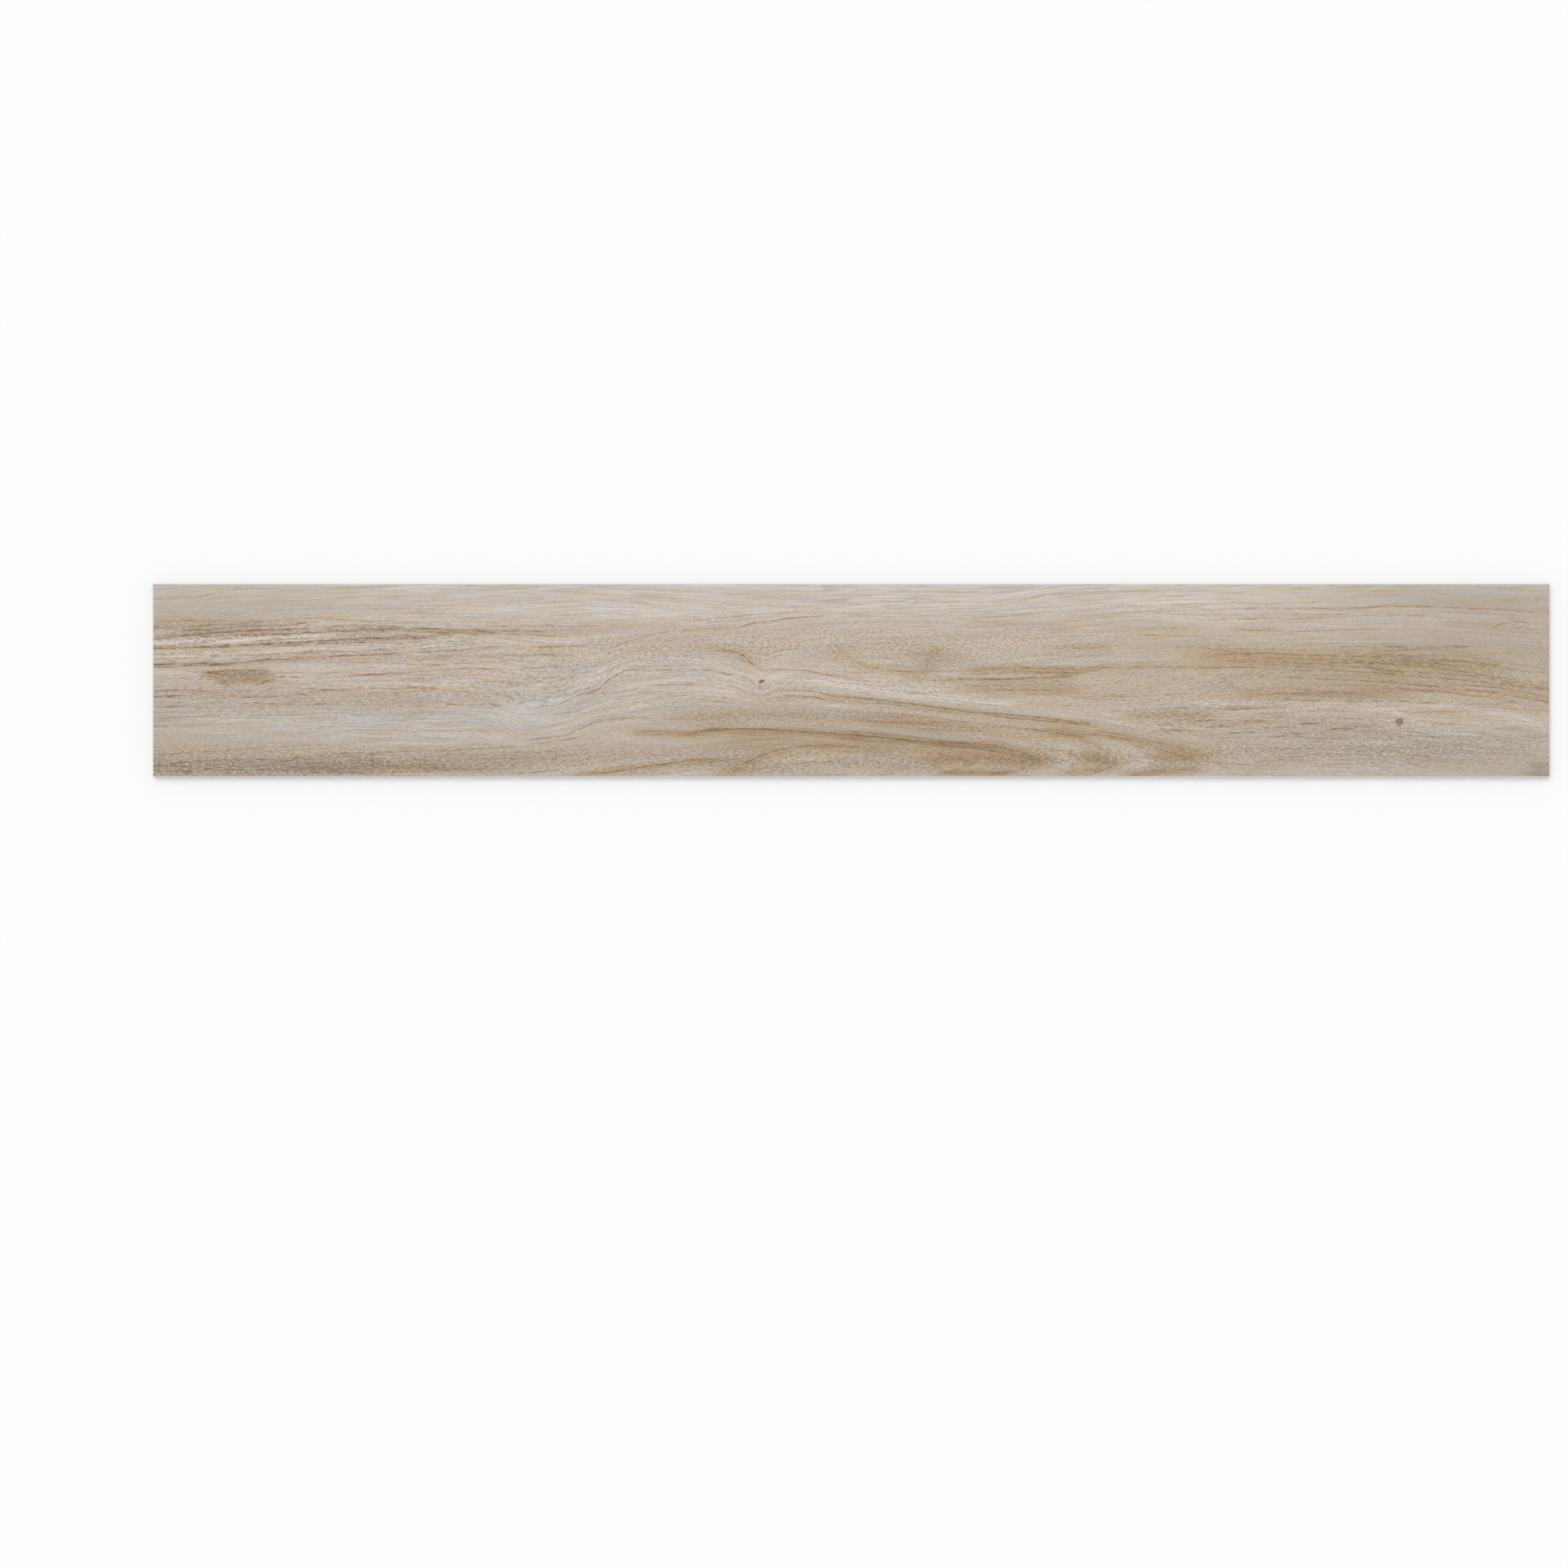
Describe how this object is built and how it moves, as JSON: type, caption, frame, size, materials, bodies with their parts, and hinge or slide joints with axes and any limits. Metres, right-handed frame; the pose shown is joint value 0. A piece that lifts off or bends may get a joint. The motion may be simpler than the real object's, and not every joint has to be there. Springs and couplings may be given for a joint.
{
  "type": "wood look porcelain plank tile",
  "caption": "Long rectangular glazed porcelain floor tile with a pale wood grain face, fine bevelled face edges and a keyed back.",
  "frame": {"origin": "centre of the plank's back, in the plane of the rib tops that it is bedded on", "axes": "+X along the plank's length and the printed grain, +Y across it, +Z out of the glazed face"},
  "size_m": [1.2, 0.166, 0.01],
  "materials": {
    "glazed_porcelain": "matte"
  },
  "bodies": {
    "root": {"porcelain_plank": "glazed_porcelain"}
  },
  "joints": []
}
